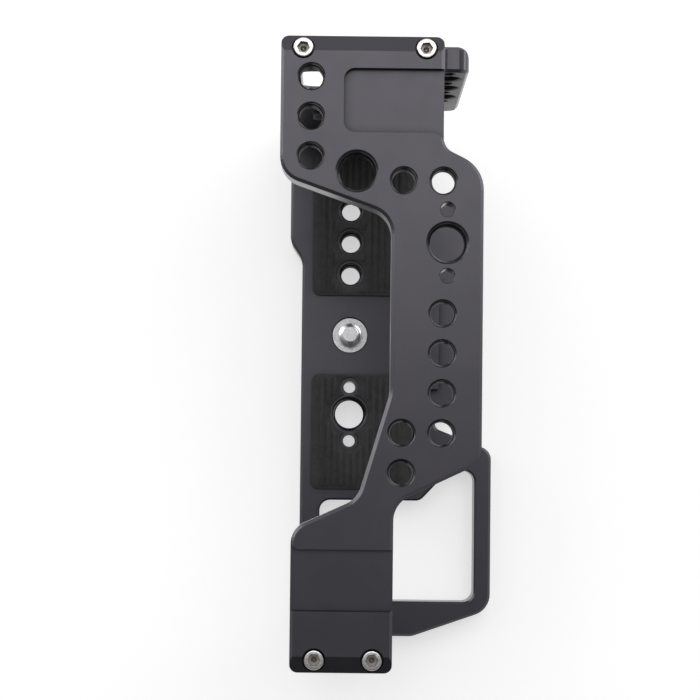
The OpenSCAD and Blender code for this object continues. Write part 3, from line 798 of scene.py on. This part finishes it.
def rib_runs(v, width, height, holes):
    """The stretches along u that a rib at v may cover, clear of the pad's edge and its holes."""
    reach = width / 2 - RIB_MARGIN
    into_corner = abs(v) - (height / 2 - PAD_CORNER)
    if into_corner > 0:
        room = max((PAD_CORNER - RIB_MARGIN) ** 2 - into_corner ** 2, 0)
        reach = width / 2 - PAD_CORNER + math.sqrt(room)
    runs = [(-reach, reach)]
    for u, w, r in holes:
        clear, off = r + RIB_MARGIN, abs(v - w)
        if off < clear:
            half = math.sqrt(clear ** 2 - off ** 2)
            parts = []
            for a, b in runs:
                parts += [(a, min(b, u - half)), (max(a, u + half), b)]
            runs = [(a, b) for a, b in parts if b - a > SHORTEST_RIB]
    return runs


def add_pad_ribs(bm, put, width, height, top, holes):
    """Ribs along the pad's longer side. A rib's foot sinks into the sheet, and its top is rounded."""
    sink, shoulder_share, shoulder_in, crown_in = 0.1, 0.7, 0.06, 0.2
    levels = (
        (top - sink, RIB_FOOT, 0),
        (top + RIB_H * shoulder_share, RIB_FOOT - shoulder_in, shoulder_in),
        (top + RIB_H, RIB_CROWN, crown_in),
    )
    count = int((height / 2 - RIB_MARGIN - RIB_FOOT) / RIB_PITCH)
    for i in range(-count, count + 1):
        v = i * RIB_PITCH
        for start, end in rib_runs(v, width, height, holes):
            rings = []
            for n, half, cut in levels:
                a, b, low, high = start + cut, end - cut, v - half, v + half
                corners = ((a, low), (b, low), (b, high), (a, high))
                rings.append([bm.verts.new(put(u, w, n)) for u, w in corners])
            bridge(bm, rings)
            cap(bm, rings)


def make_pad(node, face, openings=()):
    """A ribbed rubber pad in a CAD pad's place. face is the way its ribs point.

    An opening is a list of circles in X, Y and radius that overlap each other.
    """
    low, high = (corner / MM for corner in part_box(node))
    middle, size = (low + high) / 2, high - low
    along, aside = sorted(across(face), key=lambda way: abs(size.dot(way)), reverse=True)
    width, height, thick = (abs(size.dot(way)) for way in (along, aside, face))
    back = middle - face * thick / 2

    def put(u, v, n):
        return (back + along * u + aside * v + face * n) * MM

    cuts = []
    for circles in openings:
        places = [(Vector((x, y, middle.z)) - middle, r) for x, y, r in circles]
        cuts.append([(place.dot(along), place.dot(aside), r) for place, r in places])
    holes = [circle for circles in cuts for circle in circles]
    top = thick - RIB_H
    bm = bmesh.new()
    add_pad_sheet(bm, put, width, height, top, cuts)
    add_pad_ribs(bm, put, width, height, top, holes)
    dress(piece_from(bm, node + "_ribbed"), ("rubber",), "cage", "rubber", node)


def make_pads():
    """Every pad. Those on the bottom plate have openings round its holes."""
    room, pin_r, pin_reach = 1.0, 1.65, 7.5
    row = [(spot / MM).xy for spot in hole_spots("bottom_plate", QUARTER["wall_r"])]
    row_openings = [[(x, y, QUARTER["wall_r"] + room)] for x, y in row if x > 0]
    x, y = (hole_spots("bottom_plate", THREE_EIGHTHS["wall_r"])[0] / MM).xy
    main_opening = [(x, y, THREE_EIGHTHS["wall_r"] + room)]
    main_opening += [(x + side * pin_reach, y, pin_r + room) for side in (1, -1)]
    make_pad("bottom_pad_left", Z, row_openings)
    make_pad("bottom_pad_right", Z, [main_opening])
    make_pad("left_inner_pad", -X)
    make_pad("right_inner_pad", X)
    make_pad("top_pad_left", -Z)
    make_pad("top_pad_right", -Z)


# The scene

materials = make_materials()
make_camera()
make_lamps()
make_fill()
make_floor()
for subpart in record["subparts"]:
    node = nodes[subpart["node"]]
    node.data.materials.clear()
    node.data.materials.append(materials[subpart["material_slot"]])
make_threads()
make_socket_screws("top_left_screws", up=1, stem_l=8.0, turns=(94, 82))
make_socket_screws("top_right_screws", up=1, stem_l=8.0, turns=(97, 88))
make_socket_screws("bottom_left_screws", up=-1, stem_l=12.0, turns=(12, 40))
make_socket_screws("bottom_right_screws", up=-1, stem_l=12.0, turns=(25, 3))
make_socket_screws("locating_lip_screws", up=-1, stem_l=8.0, turns=(8, 33))
make_camera_screw()
make_pads()
